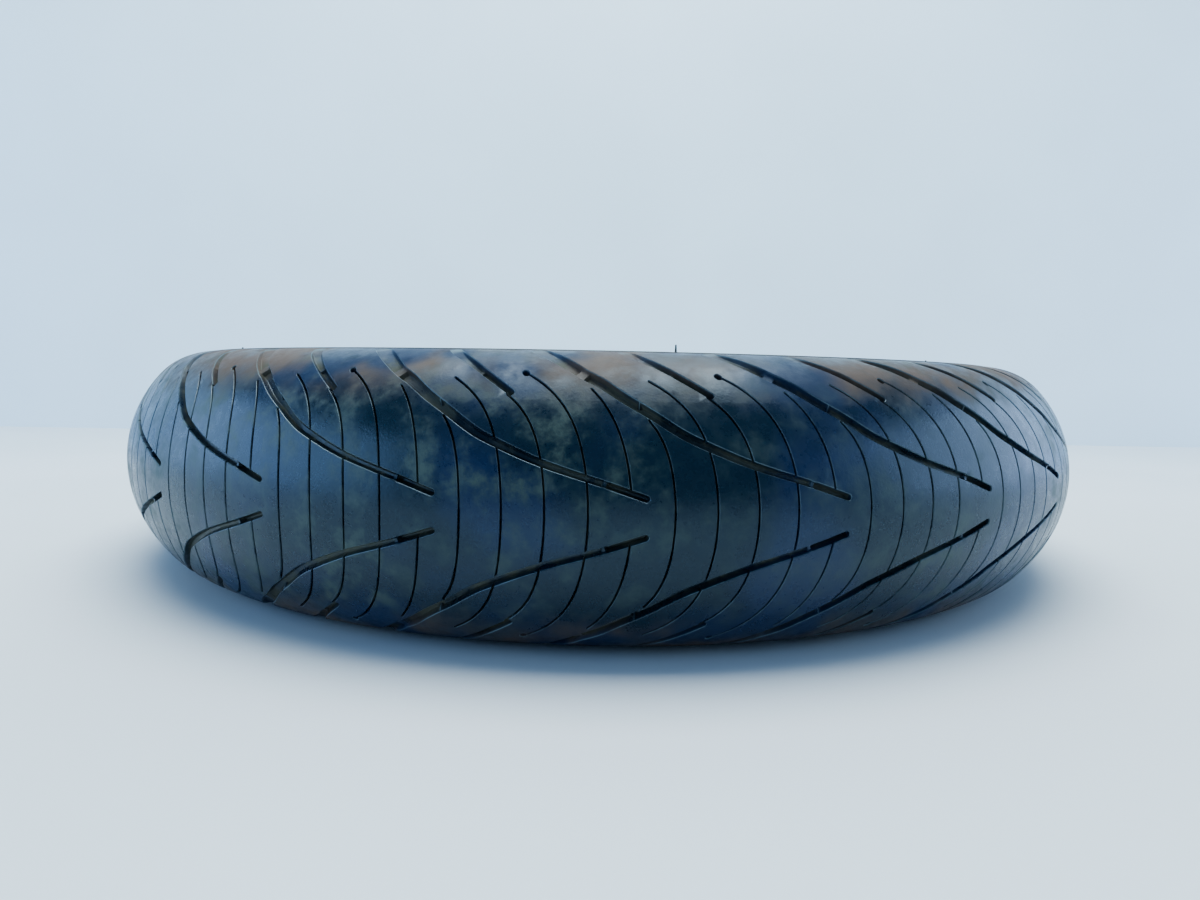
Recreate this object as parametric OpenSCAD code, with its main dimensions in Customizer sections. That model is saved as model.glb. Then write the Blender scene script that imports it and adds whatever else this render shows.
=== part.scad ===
// Radial tubeless motorcycle tyre, 120/70-17 size, lying flat.
// The axle axis is Z and the origin is the tyre's centre, on its mid plane.
// Sections are drawn with the radius along x and the axle along y, then revolved.

/* [Overall size] */
// Outside diameter over the crown
outer_d = 600; // [580:1:720]
// Section width over the ribs of the sidewalls
section_w = 122; // [100:1:146]
// Radius of the tread's crown, seen in section
crown_r = 74; // [68:0.5:86]
// Radius of the shoulders, seen in section
shoulder_r = 36; // [30:0.5:40]

// Height of the flat rib round each sidewall that the tyre lies on
rib_h = 0.4; // [0.2:0.1:1]
// Width of that rib
rib_w = 4; // [3:0.5:8]

/* [Rim fit] */
// Diameter of the bead seats
rim_d = 436.6; // [425:0.1:445]
// Width between the rim's flanges
rim_w = 89; // [74:0.5:107]
// Height of the rim's flanges above the bead seat
flange_h = 14; // [12:0.5:16]
// Rounding of the bead's heel
heel_r = 2; // [1:0.5:4]
// Width of the cylindrical bead seat
seat_w = 7; // [4:0.5:8]

/* [Tread] */
// Number of pattern pitches round the tyre
pitches = 24; // [20:1:28]
// Depth of the grooves in the middle of the tread
groove_depth = 4; // [2:0.1:4.6]
// Width of the long grooves at their inner end
long_groove_w = 3; // [2:0.1:5]
// Width of the short grooves at their inner end
short_groove_w = 3.4; // [2:0.1:5]
// Growth of a groove's width from its inner end to the tread's edge
groove_flare = 4; // [1:0.1:5]
// Distance from the centre line to the long grooves' inner ends
groove_gap = 6.7; // [4:0.1:10]
// Depth of the grooves at the tread's edge
edge_groove_depth = 1; // [0.5:0.1:1.2]
// Half width of the harder centre compound, along the surface
centre_band = 44; // [30:0.5:53]

/* [Layers] */
// Thickness of tread, base and belt together at the crown
crown_t = 8.8; // [7.5:0.1:11]
// Thickness of the tread's base rubber
base_t = 1.5; // [1:0.1:2]
// Thickness of the belt with its rubber
belt_t = 1.8; // [1.4:0.1:2.2]
// Thickness of one carcass ply
ply_t = 0.6; // [0.5:0.05:0.8]
// Thickness of the inner liner
liner_t = 1; // [0.6:0.1:1.4]
// Thickness of the sidewall rubber
sidewall_t = 2.6; // [2.2:0.1:3.2]
// Thickness of the chafer strip round the bead
chafer_t = 0.5; // [0.3:0.1:0.6]

/* [Cords] */
// Diameter of the steel belt cord
belt_cord_d = 0.9; // [0.6:0.1:1.1]
// Spacing of the belt cord's turns
belt_cord_pitch = 2; // [1.8:0.1:4]
// Diameter of one bead wire
bead_wire_d = 0.9; // [0.7:0.05:0.95]
// Clearance between neighbouring bead wires
bead_wire_gap = 0.02; // [0.01:0.01:0.05]
// Thickness of the wrap round the bead wires
bead_wrap_t = 0.31; // [0.2:0.01:0.5]

/* [Hidden] */
$fn = 96;

STEP_A = 5;                   // angle between the points of a round stretch
TINY = 0.01;                  // least angle between two points of a run
WIRE_RINGS = 2;               // rings of wires round the bead's middle wire
WIRE_SIDES = 12;              // sides of a bead wire's section
CORD_SIDES = 8;               // sides of a belt cord's section
EDGE_ANGLE = 85;              // slope of the outer surface at the tread's edge
BELT_SHORT = 5;               // least angle from the belt's edge to the carcass's bend
STRIP_TAPER = 15;             // angle over which the belt edge strip thins out
BASE_TAPER = 20;              // angle over which the tread base thins out
THIN_EDGE = 0.4;              // thickness left at the ends of those two layers
SIDE_R = 22;                  // outer radius of the sidewall's bulge
SIDE_SHARE = 0.8;             // that radius, at most, as a share of one arc to the flange
FLANGE_STEP = 5.58;           // sidewall's reach past the flange's face at its top
TURN_LEAN = 30.81;            // lean of the ply's turned-up edge away from the ply
TURN_L = 8;                   // length of the ply's turned-up edge
TOE_L = 6;                    // overlap of the chafer inside the bead
TOE_DROP = 0.8;               // toe's reach inside the seat's radius
BEAD_W = 14;                  // width of the bead from heel to toe
FLANGE_FOOT = 3.3;            // straight flange face ends this far below its top
FLANGE_LIP = 0.7;             // clearance over the top of the flange
BEND_R = 15.1;                // radius of the carcass's shoulders
CUT_CLEAR = 6;                // reach of the groove cutters past the surface

// Outer surface: crown, shoulder and sidewall arcs that meet tangentially.
half_w = section_w / 2 - rib_h;
rim_r = rim_d / 2;
flange_z = rim_w / 2;
flange_top_r = rim_r + flange_h + FLANGE_LIP;
crown_c = [outer_d / 2 - crown_r, 0];
shoulder_z = half_w - shoulder_r;
shoulder_a = asin(shoulder_z / (crown_r - shoulder_r));
wide_r = crown_c.x + (crown_r - shoulder_r) * cos(shoulder_a);
shoulder_c = [wide_r, shoulder_z];

// Sidewall: an arc, then the line from it that touches the top of the flange.
side_foot = [flange_top_r, flange_z + FLANGE_STEP];
foot_span = [wide_r, half_w] - side_foot;
side_r = min(SIDE_R, SIDE_SHARE * norm(foot_span)^2 / (2 * foot_span.y));
side_c = [wide_r, half_w - side_r];
side_span = side_c - side_foot;
side_a = atan2(side_span.y, side_span.x) - acos(side_r / norm(side_span)) + 90;

// Carcass surface: the same kind of arcs, closer to the outside at the sides.
carcass_half_w = half_w - sidewall_t;
bend_c = [wide_r, carcass_half_w - BEND_R];
carcass_rise = outer_d / 2 - crown_t - wide_r;
carcass_r = (carcass_rise^2 + bend_c.y^2 - BEND_R^2) / (2 * (carcass_rise - BEND_R));
carcass_c = [outer_d / 2 - crown_t - carcass_r, 0];
bend_a = atan2(bend_c.y, wide_r - carcass_c.x);
inner_side_r = side_r - sidewall_t;

// Slopes of the carcass at the belt's edge and where the strip and the tread base end.
belt_a = STEP_A * floor((bend_a - BELT_SHORT) / STEP_A);
strip_a = belt_a + STRIP_TAPER;
base_a = belt_a + BASE_TAPER;

// Bead: the wires' centre, with the wrap, plies and chafer round it.
wire_step = bead_wire_d + bead_wire_gap;
core_r = WIRE_RINGS * wire_step + bead_wire_d / 2 + bead_wrap_t;
plies_t = 2 * ply_t;
bead_r = core_r + plies_t + chafer_t;
bead_c = [rim_r + bead_r + 2, flange_z - bead_r - 1.8];
bead_span = side_c - bead_c;
slant = atan2(bead_span.y, bead_span.x) - acos((inner_side_r + core_r) / norm(bead_span)) + 90;
in_dir = [sin(slant), -cos(slant)];
up_dir = [cos(slant), sin(slant)];
turn_a = slant - TURN_LEAN;
out_dir = [-sin(turn_a), cos(turn_a)];
turn_dir = [cos(turn_a), sin(turn_a)];

// Ends of the sidewall: where the ply straightens and where the rim cushion starts.
ply_bend = side_c + inner_side_r * [-sin(slant), cos(slant)];
cushion_top = side_c + side_r / cos(max(slant - side_a, 0)) * [-sin(slant), cos(slant)];

// Pattern: each groove runs through points of [share of a pitch, share of the half tread].
pitch_a = 360 / pitches;
crown_l = crown_r * shoulder_a * PI / 180;
edge_t = crown_l + shoulder_r * (90 - shoulder_a) * PI / 180;
view_a = -0.75 * pitch_a;
LONG_PATH = [[0.07, 0], [-0.43, 0.17], [-0.78, 0.33], [-1.04, 0.5], [-1.26, 0.67], [-1.43, 0.83], [-1.58, 1]];
SHORT_PATH = [[-0.585, 0.55], [-0.75, 0.67], [-0.9, 0.79], [-1.07, 1]];

function at_angle(c, r, a) = c + r * [cos(a), sin(a)];
function backwards(list) = [for (i = [len(list) - 1 : -1 : 0]) list[i]];
function inner(list) = [for (i = [1 : len(list) - 2]) list[i]];

// The lower half of a line whose last point lies on the mid plane.
function other_side(list) = [for (i = [len(list) - 2 : -1 : 0]) [list[i].x, -list[i].y]];
function mix(a, b, share) = a + (b - a) * max(0, min(1, share));

// Angles of a run's points: its ends, the multiples of STEP_A and the carcass's bend between
// them, so that layers which share a line share its points.
function slopes(from, to) =
    from > to
        ? backwards(slopes(to, from))
        : concat(
            [from],
            [
                for (k = [floor(from / STEP_A) : ceil(to / STEP_A) - 1], a = [k * STEP_A, bend_a])
                    if (a > from + TINY && a < to - TINY && a >= k * STEP_A && a < (k + 1) * STEP_A) a
            ],
            [to]
        );

function arc(c, r, from, to) = [for (a = slopes(from, to)) at_angle(c, r, a)];

// Point of the outer surface where it slopes by a, d below it.
function outer_point(a, d) =
    a < shoulder_a ? at_angle(crown_c, crown_r - d, a) : at_angle(shoulder_c, shoulder_r - d, a);

// Point of the carcass surface where it slopes by a, d outside it.
function carcass_point(a, d) =
    a < bend_a ? at_angle(carcass_c, carcass_r + d, a) : at_angle(bend_c, BEND_R + d, a);

// Heights above the carcass of the belt's top and of the tread base's top.
function belt_top(a) = mix(belt_t, THIN_EDGE, (a - belt_a) / (strip_a - belt_a));
function base_top(a) =
    (a > strip_a ? 0 : belt_top(a)) + mix(base_t, THIN_EDGE, (a - belt_a) / (base_a - belt_a));

// Depth of the groove floor where the outer surface slopes by a.
function floor_depth(a) = mix(groove_depth, edge_groove_depth, (a - shoulder_a) / (EDGE_ANGLE - shoulder_a));

// Slope of the carcass under a line from the crown's centre at angle a, at the nearest point of a run.
function seam_slope(a) =
    STEP_A * round((a - asin((crown_c.x - carcass_c.x) * sin(a) / carcass_r)) / STEP_A);

// Point of the carcass on a line from the shoulder's centre at angle a.
function edge_foot(a) =
    let (rise = bend_c.y - shoulder_c.y, b = rise * sin(a))
    at_angle(shoulder_c, b + sqrt(b^2 + BEND_R^2 - rise^2), a);

// A closed layer between two lines of the upper half, on one side or right across.
module half_layer(near, far) {
    polygon(concat(near, backwards(far)));
}

module full_layer(near, far) {
    polygon(concat(near, other_side(near), backwards(concat(far, other_side(far)))));
}

// Lines of the upper half at a depth d inside the carcass surface.
function above_bead(d) = concat(
    arc(side_c, inner_side_r - d, 90 + slant, 90),
    arc(bend_c, BEND_R - d, 90, bend_a),
    arc(carcass_c, carcass_r - d, bend_a, 0)
);
function round_bead(d) = concat(
    [bead_c + (core_r + d) * out_dir + TURN_L * turn_dir],
    arc(bead_c, core_r + d, 90 + turn_a, 270 + slant)
);
function toe_end(d) = bead_c + (core_r + d) * in_dir + TOE_L * up_dir;

module ply(near, far) {
    rotate_extrude() full_layer(
        concat(round_bead(near), above_bead(near)),
        concat(round_bead(far), above_bead(far))
    );
}

// Rings of cord across the belt, each one turn of the winding.
belt_mid_r = carcass_r + belt_t / 2;
cord_step = belt_cord_pitch / belt_mid_r * 180 / PI;
cord_turns = floor((belt_a - cord_step / 2) / cord_step);

module belt_cord_section() {
    for (i = [-cord_turns : cord_turns])
        translate(at_angle(carcass_c, belt_mid_r, i * cord_step)) circle(d = belt_cord_d, $fn = CORD_SIDES);
}

module bead_wire_section() {
    translate(bead_c) {
        circle(d = bead_wire_d, $fn = WIRE_SIDES);
        for (ring = [1 : WIRE_RINGS], side = [0 : 5], k = [0 : ring - 1]) {
            corner = ring * wire_step * [cos(60 * side), sin(60 * side)];
            run = k * wire_step * [cos(60 * side + 120), sin(60 * side + 120)];
            translate(corner + run) circle(d = bead_wire_d, $fn = WIRE_SIDES);
        }
    }
}

// Point of the outer surface at a distance t from the centre line, measured along it.
function tread_point(t) =
    t < crown_l
        ? outer_point(t / crown_r * 180 / PI, 0)
        : outer_point(shoulder_a + (t - crown_l) / shoulder_r * 180 / PI, 0);

function spine_point(p, start_t) =
    let (s = tread_point(start_t + p.y * (edge_t - start_t)))
    [s.x * sin(p.x * pitch_a - view_a), s.y];

function normal(a, b) = [a.y - b.y, b.x - a.x] / norm(b - a);

// Outline of a groove round its spine, seen along the wheel's radius at view_a.
module groove_outline(path, start_t, width) {
    spine = [for (p = path) spine_point(p, start_t)];
    last = len(spine) - 1;
    half = [for (i = [0 : last]) (width + groove_flare * i / last) / 2];
    side = [for (i = [0 : last]) normal(spine[max(i - 1, 0)], spine[min(i + 1, last)])];
    polygon(concat(
        [for (i = [0 : last]) spine[i] + half[i] * side[i]],
        [for (i = [last : -1 : 0]) spine[i] - half[i] * side[i]]
    ));
}

// The grooves of one pitch as blocks from under the tread to past its crown.
module groove_blocks(both) {
    block_foot = wide_r - CUT_CLEAR;
    rotate([0, 0, view_a])
        rotate([90, 0, 0])
            translate([0, 0, block_foot])
                linear_extrude(outer_d / 2 + CUT_CLEAR - block_foot) {
                    groove_outline(LONG_PATH, groove_gap, long_groove_w);
                    if (both) mirror([0, 1]) groove_outline(LONG_PATH, groove_gap, long_groove_w);
                    else groove_outline(SHORT_PATH, 0, short_groove_w);
                }
}

split_a = centre_band / crown_r * 180 / PI;
seam_a = seam_slope(split_a);

module tread_centre() {
    top = [for (a = slopes(split_a, 0)) outer_point(a, 0)];
    foot = [for (a = slopes(seam_a, 0)) carcass_point(a, base_top(a))];
    above = [for (a = slopes(split_a + 1, 0)) outer_point(a, -CUT_CLEAR)];
    floor_line = [for (a = slopes(split_a + 1, 0)) outer_point(a, floor_depth(a))];
    color("#262d33") difference() {
        rotate_extrude() full_layer(top, foot);
        intersection() {
            rotate_extrude() full_layer(above, floor_line);
            for (i = [0 : pitches - 1]) rotate([0, 0, i * pitch_a]) groove_blocks(true);
        }
    }
}

module tread_shoulder(side) {
    top = [for (a = slopes(split_a, EDGE_ANGLE)) outer_point(a, 0)];
    foot = concat(
        [for (a = slopes(seam_a, base_a)) carcass_point(a, base_top(a))],
        [for (a = [base_a : STEP_A : EDGE_ANGLE - 2 * STEP_A]) carcass_point(a, 0)],
        [edge_foot(EDGE_ANGLE)]
    );
    above = [for (a = slopes(split_a - 1, EDGE_ANGLE)) outer_point(a, -CUT_CLEAR)];
    floor_line = [for (a = slopes(split_a - 1, EDGE_ANGLE)) outer_point(a, floor_depth(a))];
    color("#3a3538") mirror([0, 0, side]) difference() {
        rotate_extrude() half_layer(top, foot);
        intersection() {
            rotate_extrude() half_layer(above, floor_line);
            for (i = [0 : pitches - 1]) rotate([0, 0, i * pitch_a]) groove_blocks(false);
        }
    }
}

module tread_base() {
    color("#1d1f21") rotate_extrude() full_layer(
        concat(
            [carcass_point(base_a, 0), carcass_point(strip_a, 0)],
            [for (a = slopes(strip_a, 0)) carcass_point(a, belt_top(a))]
        ),
        [for (a = slopes(base_a, 0)) carcass_point(a, base_top(a))]
    );
}

module belt_cord() {
    color("#a88f5c") rotate_extrude() belt_cord_section();
}

module belt_rubber() {
    color("#33302c") rotate_extrude() difference() {
        half_layer(
            arc(carcass_c, carcass_r, -belt_a, belt_a),
            arc(carcass_c, carcass_r + belt_t, -belt_a, belt_a)
        );
        belt_cord_section();
    }
}

module belt_edge_strip(side) {
    run = slopes(belt_a, strip_a);
    color("#2b2b2e") rotate_extrude() mirror([0, side]) half_layer(
        [for (a = run) carcass_point(a, 0)],
        [for (a = run) carcass_point(a, belt_top(a))]
    );
}

module carcass_ply_outer() {
    color("#6b5a3e") ply(0, ply_t);
}

module carcass_ply_inner() {
    color("#7a6747") ply(ply_t, plies_t);
}

module inner_liner() {
    color("#17181a") rotate_extrude() full_layer(
        concat([toe_end(plies_t)], above_bead(plies_t)),
        concat([toe_end(plies_t + liner_t)], above_bead(plies_t + liner_t))
    );
}

module bead_wire(side) {
    color("#b08d57") rotate_extrude() mirror([0, side]) bead_wire_section();
}

module bead_wrap(side) {
    color("#54504a") rotate_extrude() mirror([0, side]) difference() {
        polygon(concat(
            arc(bead_c, core_r, 90 + turn_a, 270 + slant),
            inner(arc(bead_c, core_r, slant - 90, 90 + turn_a))
        ));
        bead_wire_section();
    }
}

module bead_filler(side) {
    color("#202327") rotate_extrude() mirror([0, side]) polygon(concat(
        [ply_bend, bead_c + core_r * out_dir + TURN_L * turn_dir],
        arc(bead_c, core_r, 90 + turn_a, slant - 90)
    ));
}

module chafer(side) {
    color("#4a4236") rotate_extrude() mirror([0, side]) half_layer(
        concat(round_bead(plies_t), [toe_end(plies_t)]),
        concat(round_bead(plies_t + chafer_t), [toe_end(plies_t + chafer_t)])
    );
}

// Bead's outer shape: flange groove, heel, seat and toe, with the toe's cover inside.
module rim_cushion(side) {
    color("#1b1e20") rotate_extrude() mirror([0, side]) polygon(concat(
        [ply_bend, cushion_top],
        [for (a = slopes(90 + slant, 90 + side_a)) if (a > 90 + slant + TINY) at_angle(side_c, side_r, a)],
        [side_foot, [rim_r + flange_h - FLANGE_FOOT, flange_z]],
        arc([rim_r + heel_r, flange_z - heel_r], heel_r, 90, 180),
        [
            [rim_r, flange_z - heel_r - seat_w],
            [rim_r - TOE_DROP, flange_z - BEAD_W],
            bead_c + (core_r + plies_t + liner_t) * in_dir,
            toe_end(plies_t + liner_t),
            toe_end(plies_t + chafer_t)
        ],
        backwards(round_bead(plies_t + chafer_t)),
        [bead_c + core_r * out_dir + TURN_L * turn_dir]
    ));
}

module sidewall(side) {
    rib_z = half_w + rib_h;
    color("#1f2326") rotate_extrude() mirror([0, side]) polygon(concat(
        arc(shoulder_c, shoulder_r, EDGE_ANGLE, 90),
        [[wide_r, rib_z], [wide_r - rib_w, rib_z]],
        [
            for (a = slopes(90, 90 + side_a), p = [at_angle(side_c, side_r, a)])
                if (a < 90 + slant - TINY && p.x < wide_r - rib_w) p
        ],
        [cushion_top],
        arc(side_c, inner_side_r, 90 + slant, 90),
        [for (a = [90 - STEP_A : -STEP_A : EDGE_ANGLE - STEP_A]) carcass_point(a, 0)],
        [edge_foot(EDGE_ANGLE)]
    ));
}

tread_centre();
tread_shoulder(0);  // tread_shoulder_upper
tread_shoulder(1);  // tread_shoulder_lower
tread_base();
belt_cord();
belt_rubber();
belt_edge_strip(0);  // belt_edge_strip_upper
belt_edge_strip(1);  // belt_edge_strip_lower
carcass_ply_outer();
carcass_ply_inner();
inner_liner();
bead_wire(0);  // bead_wire_upper
bead_wire(1);  // bead_wire_lower
bead_wrap(0);  // bead_wrap_upper
bead_wrap(1);  // bead_wrap_lower
bead_filler(0);  // bead_filler_upper
bead_filler(1);  // bead_filler_lower
chafer(0);  // chafer_upper
chafer(1);  // chafer_lower
rim_cushion(0);  // rim_cushion_upper
rim_cushion(1);  // rim_cushion_lower
sidewall(0);  // sidewall_upper
sidewall(1);  // sidewall_lower
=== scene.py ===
"""A worn radial motorcycle tyre lying on its side: its meshes, finishes, light and camera.

Lengths are in millimetres until a mesh is finished, and the axle is the Z axis. A place on
the tread is given by its arc, the distance from the centre line along the surface, and by
its run, the distance round the tyre measured on the outside diameter.
"""

import logging
import math
from dataclasses import dataclass, field
from enum import Enum

import bmesh
import bpy
import numpy as np
from mathutils import Euler, Matrix, Vector
from mathutils.geometry import delaunay_2d_cdt


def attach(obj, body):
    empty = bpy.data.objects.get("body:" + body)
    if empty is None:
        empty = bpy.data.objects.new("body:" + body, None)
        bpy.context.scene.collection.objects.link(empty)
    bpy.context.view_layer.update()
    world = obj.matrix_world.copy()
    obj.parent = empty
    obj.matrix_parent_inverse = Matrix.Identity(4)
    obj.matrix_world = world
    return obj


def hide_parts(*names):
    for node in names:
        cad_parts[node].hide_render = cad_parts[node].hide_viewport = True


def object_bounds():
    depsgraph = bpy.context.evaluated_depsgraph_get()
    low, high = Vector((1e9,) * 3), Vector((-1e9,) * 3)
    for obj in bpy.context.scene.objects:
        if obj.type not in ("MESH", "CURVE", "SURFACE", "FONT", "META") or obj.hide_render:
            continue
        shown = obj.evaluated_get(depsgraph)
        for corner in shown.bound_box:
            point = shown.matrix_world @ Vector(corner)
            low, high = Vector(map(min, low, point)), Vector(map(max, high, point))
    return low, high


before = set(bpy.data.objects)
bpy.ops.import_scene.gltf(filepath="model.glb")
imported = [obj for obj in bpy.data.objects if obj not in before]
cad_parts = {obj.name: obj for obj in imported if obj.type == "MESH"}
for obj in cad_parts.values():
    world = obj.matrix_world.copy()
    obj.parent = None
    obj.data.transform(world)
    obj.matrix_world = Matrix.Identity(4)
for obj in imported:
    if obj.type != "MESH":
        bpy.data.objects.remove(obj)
CAD_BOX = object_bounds()

log = logging.getLogger("tyre")
MM = 0.001
PITCHES = 24  # repeats of the tread pattern round the tyre
CORD_R = 280.0  # radius at which cords lie at their true spacing
WELD = 0.004 * MM  # corners closer than this are one corner
FLAT = 1e-4  # a triangle whose run is less than this is left out
EDGE_SLACK = 0.01  # a corner on the edge of a cut still counts as surface
NEAR = 0.5  # an edge within this of an arc belongs to that arc


class Side(Enum):
    """The tyre's two sides as it lies: the sign of z."""

    UPPER = 1
    LOWER = -1

    @property
    def tag(self) -> str:
        """The ending of the names of this side's pieces."""
        return self.name.lower()


# ---------------------------------------------------------------- section


@dataclass(frozen=True)
class Section:
    """Lines of the tyre's cross-section, as radius and height."""

    outer_r: float
    half_w: float
    crown_r: float = 74.0
    shoulder_r: float = 36.0
    side_r: float = 22.0
    side_slant: float = 35.0
    carcass_shift: float = 4.0
    crown_t: float = 8.8
    cover_t: float = 3.3
    sidewall_t: float = 2.6
    ply_t: float = 1.2
    liner_t: float = 1.0
    rib_h: float = 0.4
    tread_slope: float = 85.0

    @property
    def crown_x(self) -> float:
        """Radius of the crown arc's centre."""
        return self.outer_r - self.crown_r

    @property
    def shoulder_z(self) -> float:
        """Height of the shoulder arc's centre."""
        return self.half_w - self.shoulder_r

    @property
    def turn(self) -> float:
        """Slope in radians where the crown meets the shoulder."""
        return math.asin(self.shoulder_z / (self.crown_r - self.shoulder_r))

    @property
    def wide_r(self) -> float:
        """Radius at which the tyre is widest."""
        return self.crown_x + (self.crown_r - self.shoulder_r) * math.cos(self.turn)

    @property
    def tread_arc(self) -> float:
        """Arc of the tread's edge."""
        slope = math.radians(self.tread_slope)
        return self.crown_r * self.turn + self.shoulder_r * (slope - self.turn)

    def outside(
        self, arc: np.ndarray, depth: np.ndarray | float = 0.0
    ) -> tuple[np.ndarray, np.ndarray]:
        """Points of the outer surface, or under it.

        Args:
            arc: signed distances from the centre line along the surface.
            depth: distances below the surface.

        Returns:
            Radii and heights.
        """
        far = np.abs(arc)
        crown = far < self.crown_r * self.turn
        beyond = (far - self.crown_r * self.turn) / self.shoulder_r
        slope = np.where(crown, far / self.crown_r, self.turn + beyond)
        reach = np.where(crown, self.crown_r, self.shoulder_r) - depth
        centre_r = np.where(crown, self.crown_x, self.wide_r)
        centre_z = np.where(crown, 0.0, self.shoulder_z)
        height = centre_z + reach * np.sin(slope)
        return centre_r + reach * np.cos(slope), np.sign(arc) * height

    def carcass(self, slope_deg: float, above: float) -> tuple[float, float]:
        """A point of the carcass's outside, or above it.

        Args:
            slope_deg: how far the carcass leans there, from 0 in the mid plane to 90 at the side.
            above: distance above the carcass, negative inside it.

        Returns:
            Radius and height.
        """
        c_x = self.crown_x - self.carcass_shift
        c_r = self.outer_r - self.crown_t - c_x
        width = self.half_w - self.sidewall_t
        step = self.wide_r - c_x
        bend_r = (c_r**2 - step**2 - width**2) / (2 * (c_r - width))
        bend = math.atan2(width - bend_r, step)
        slope = math.radians(slope_deg)
        if slope < bend:
            return c_x + (c_r + above) * math.cos(slope), (c_r + above) * math.sin(slope)
        reach = bend_r + above
        return self.wide_r + reach * math.cos(slope), width - bend_r + reach * math.sin(slope)

    def side_point(self, slope_deg: float, depth: float = 0.0) -> tuple[float, float]:
        """A point of the sidewall's bulge, whose slope runs from 90 degrees towards the rim."""
        slope = math.radians(slope_deg)
        reach = self.side_r - depth
        centre_z = self.half_w - self.side_r
        return self.wide_r + reach * math.cos(slope), centre_z + reach * math.sin(slope)


# ---------------------------------------------------------------- tread pattern


@dataclass(frozen=True)
class Cut:
    """One groove, sipe or well of the pattern, drawn on the unrolled tread as run and arc."""

    points: tuple[tuple[float, float], ...]
    widths: tuple[tuple[float, float], ...]
    depths: tuple[tuple[float, float], ...]
    insets: tuple[float, ...]
    shares: tuple[float, ...]
    step: float = 2.6
    cap_steps: int = 6

    def spine(self) -> np.ndarray:
        """The middle line, in even steps plus a station at each change of depth.

        Returns:
            Rows of station, run and arc.
        """
        raw = smooth_curve(np.array(self.points, float))
        along = lengths_along(raw)
        total = along[-1]
        marks = [d for d, _ in self.depths if 0 < d < total]
        even = np.linspace(0, total, max(2, round(total / self.step) + 1))
        kept = [s for s in even if all(abs(s - m) > 0.4 * self.step for m in marks)]
        stations = np.array(sorted({*kept, 0.0, total, *marks}))
        return np.column_stack([stations] + [np.interp(stations, along, raw[:, i]) for i in (0, 1)])

    def half_width(self, station: np.ndarray) -> np.ndarray:
        """Half the width at distances along the spine."""
        at, width = zip(*self.widths)
        return np.interp(station, at, width) / 2

    def lines(self) -> list[np.ndarray]:
        """The lines that the triangles have to follow.

        Returns:
            The outline of each row of the walls, the spine, and the lines across at a step in depth.
        """
        spine = self.spine()
        half = self.half_width(spine[:, 0])
        way = np.gradient(spine[:, 1:], axis=0)
        way /= np.linalg.norm(way, axis=1)[:, None]
        left = np.column_stack([-way[:, 1], way[:, 0]])
        rows: list[np.ndarray] = []
        sides: list[tuple[np.ndarray, np.ndarray]] = []
        for inset in self.insets:
            reach = np.maximum(half - inset, 0.02)[:, None]
            one, other = spine[:, 1:] + reach * left, spine[:, 1:] - reach * left
            sides.append((one, other))
            start = self.cap(spine[0, 1:], -way[0], -left[0], reach[0, 0])
            end = self.cap(spine[-1, 1:], way[-1], left[-1], reach[-1, 0])
            rows.append(np.vstack([one, end, other[::-1], start, one[:1]]))
        if self.shares[-1] and len(self.insets) < len(self.shares):
            rows.append(spine[:, 1:])
        for mark, _ in self.depths:
            i = int(np.argmin(np.abs(spine[:, 0] - mark)))
            if 0 < i < len(spine) - 1 and len(self.insets) == len(self.shares):
                across = [one[i] for one, _ in sides] + [other[i] for _, other in reversed(sides)]
                rows.append(np.array(across))
        return rows

    def cap(self, centre: np.ndarray, way: np.ndarray, side: np.ndarray, reach: float) -> np.ndarray:
        """Points of a round end, from one side over the end to the other.

        Args:
            centre: the end of the spine.
            way: unit direction past the end.
            side: unit direction of the side that the points start from.
            reach: half the width there.

        Returns:
            Points as run and arc.
        """
        turn = np.linspace(0, math.pi, self.cap_steps + 1)[1:-1, None]
        return centre + reach * (np.cos(turn) * side + np.sin(turn) * way)

    def depth_at(self, where: np.ndarray) -> np.ndarray:
        """Depth of the cut.

        Args:
            where: places on the unrolled tread, as run and arc.

        Returns:
            The depth at each place, 0 outside the cut.
        """
        spine = self.spine()
        start, step = spine[:-1, 1:], np.diff(spine[:, 1:], axis=0)
        away = where[:, None, :] - start[None]
        share = np.clip((away * step).sum(2) / (step**2).sum(1), 0, 1)
        gap = np.linalg.norm(away - share[..., None] * step, axis=2)
        best = gap.argmin(1)
        pick = np.arange(len(where))
        station = spine[best, 0] + share[pick, best] * np.diff(spine[:, 0])[best]
        inset = self.half_width(station) - gap[pick, best]
        at, depth = zip(*self.depths)
        steps = list(self.insets) + [max(self.widths, key=lambda w: w[1])[1] / 2] * (
            len(self.shares) - len(self.insets)
        )
        return np.interp(station, at, depth) * np.interp(inset - EDGE_SLACK, steps, self.shares)


def smooth_curve(points: np.ndarray, pieces: int = 10) -> np.ndarray:
    """A curve through points, with even tangents (Catmull-Rom).

    Args:
        points: two or more points as run and arc; two stay a straight line.
        pieces: steps between each two of them.

    Returns:
        The curve's points.
    """
    if len(points) < 3:
        return points
    ends = np.vstack([2 * points[0] - points[1], points, 2 * points[-1] - points[-2]])
    out = []
    for a, b, c, d in zip(ends, ends[1:], ends[2:], ends[3:]):
        for t in np.arange(pieces) / pieces:
            bend, twist = 2 * a - 5 * b + 4 * c - d, 3 * b - a - 3 * c + d
            out.append(0.5 * (2 * b + (c - a) * t + bend * t**2 + twist * t**3))
    return np.array(out + [points[-1]])


def lengths_along(line: np.ndarray) -> np.ndarray:
    """Distance from a line's start to each of its points."""
    return np.concatenate([[0.0], np.cumsum(np.linalg.norm(np.diff(line, axis=0), axis=1))])


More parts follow.
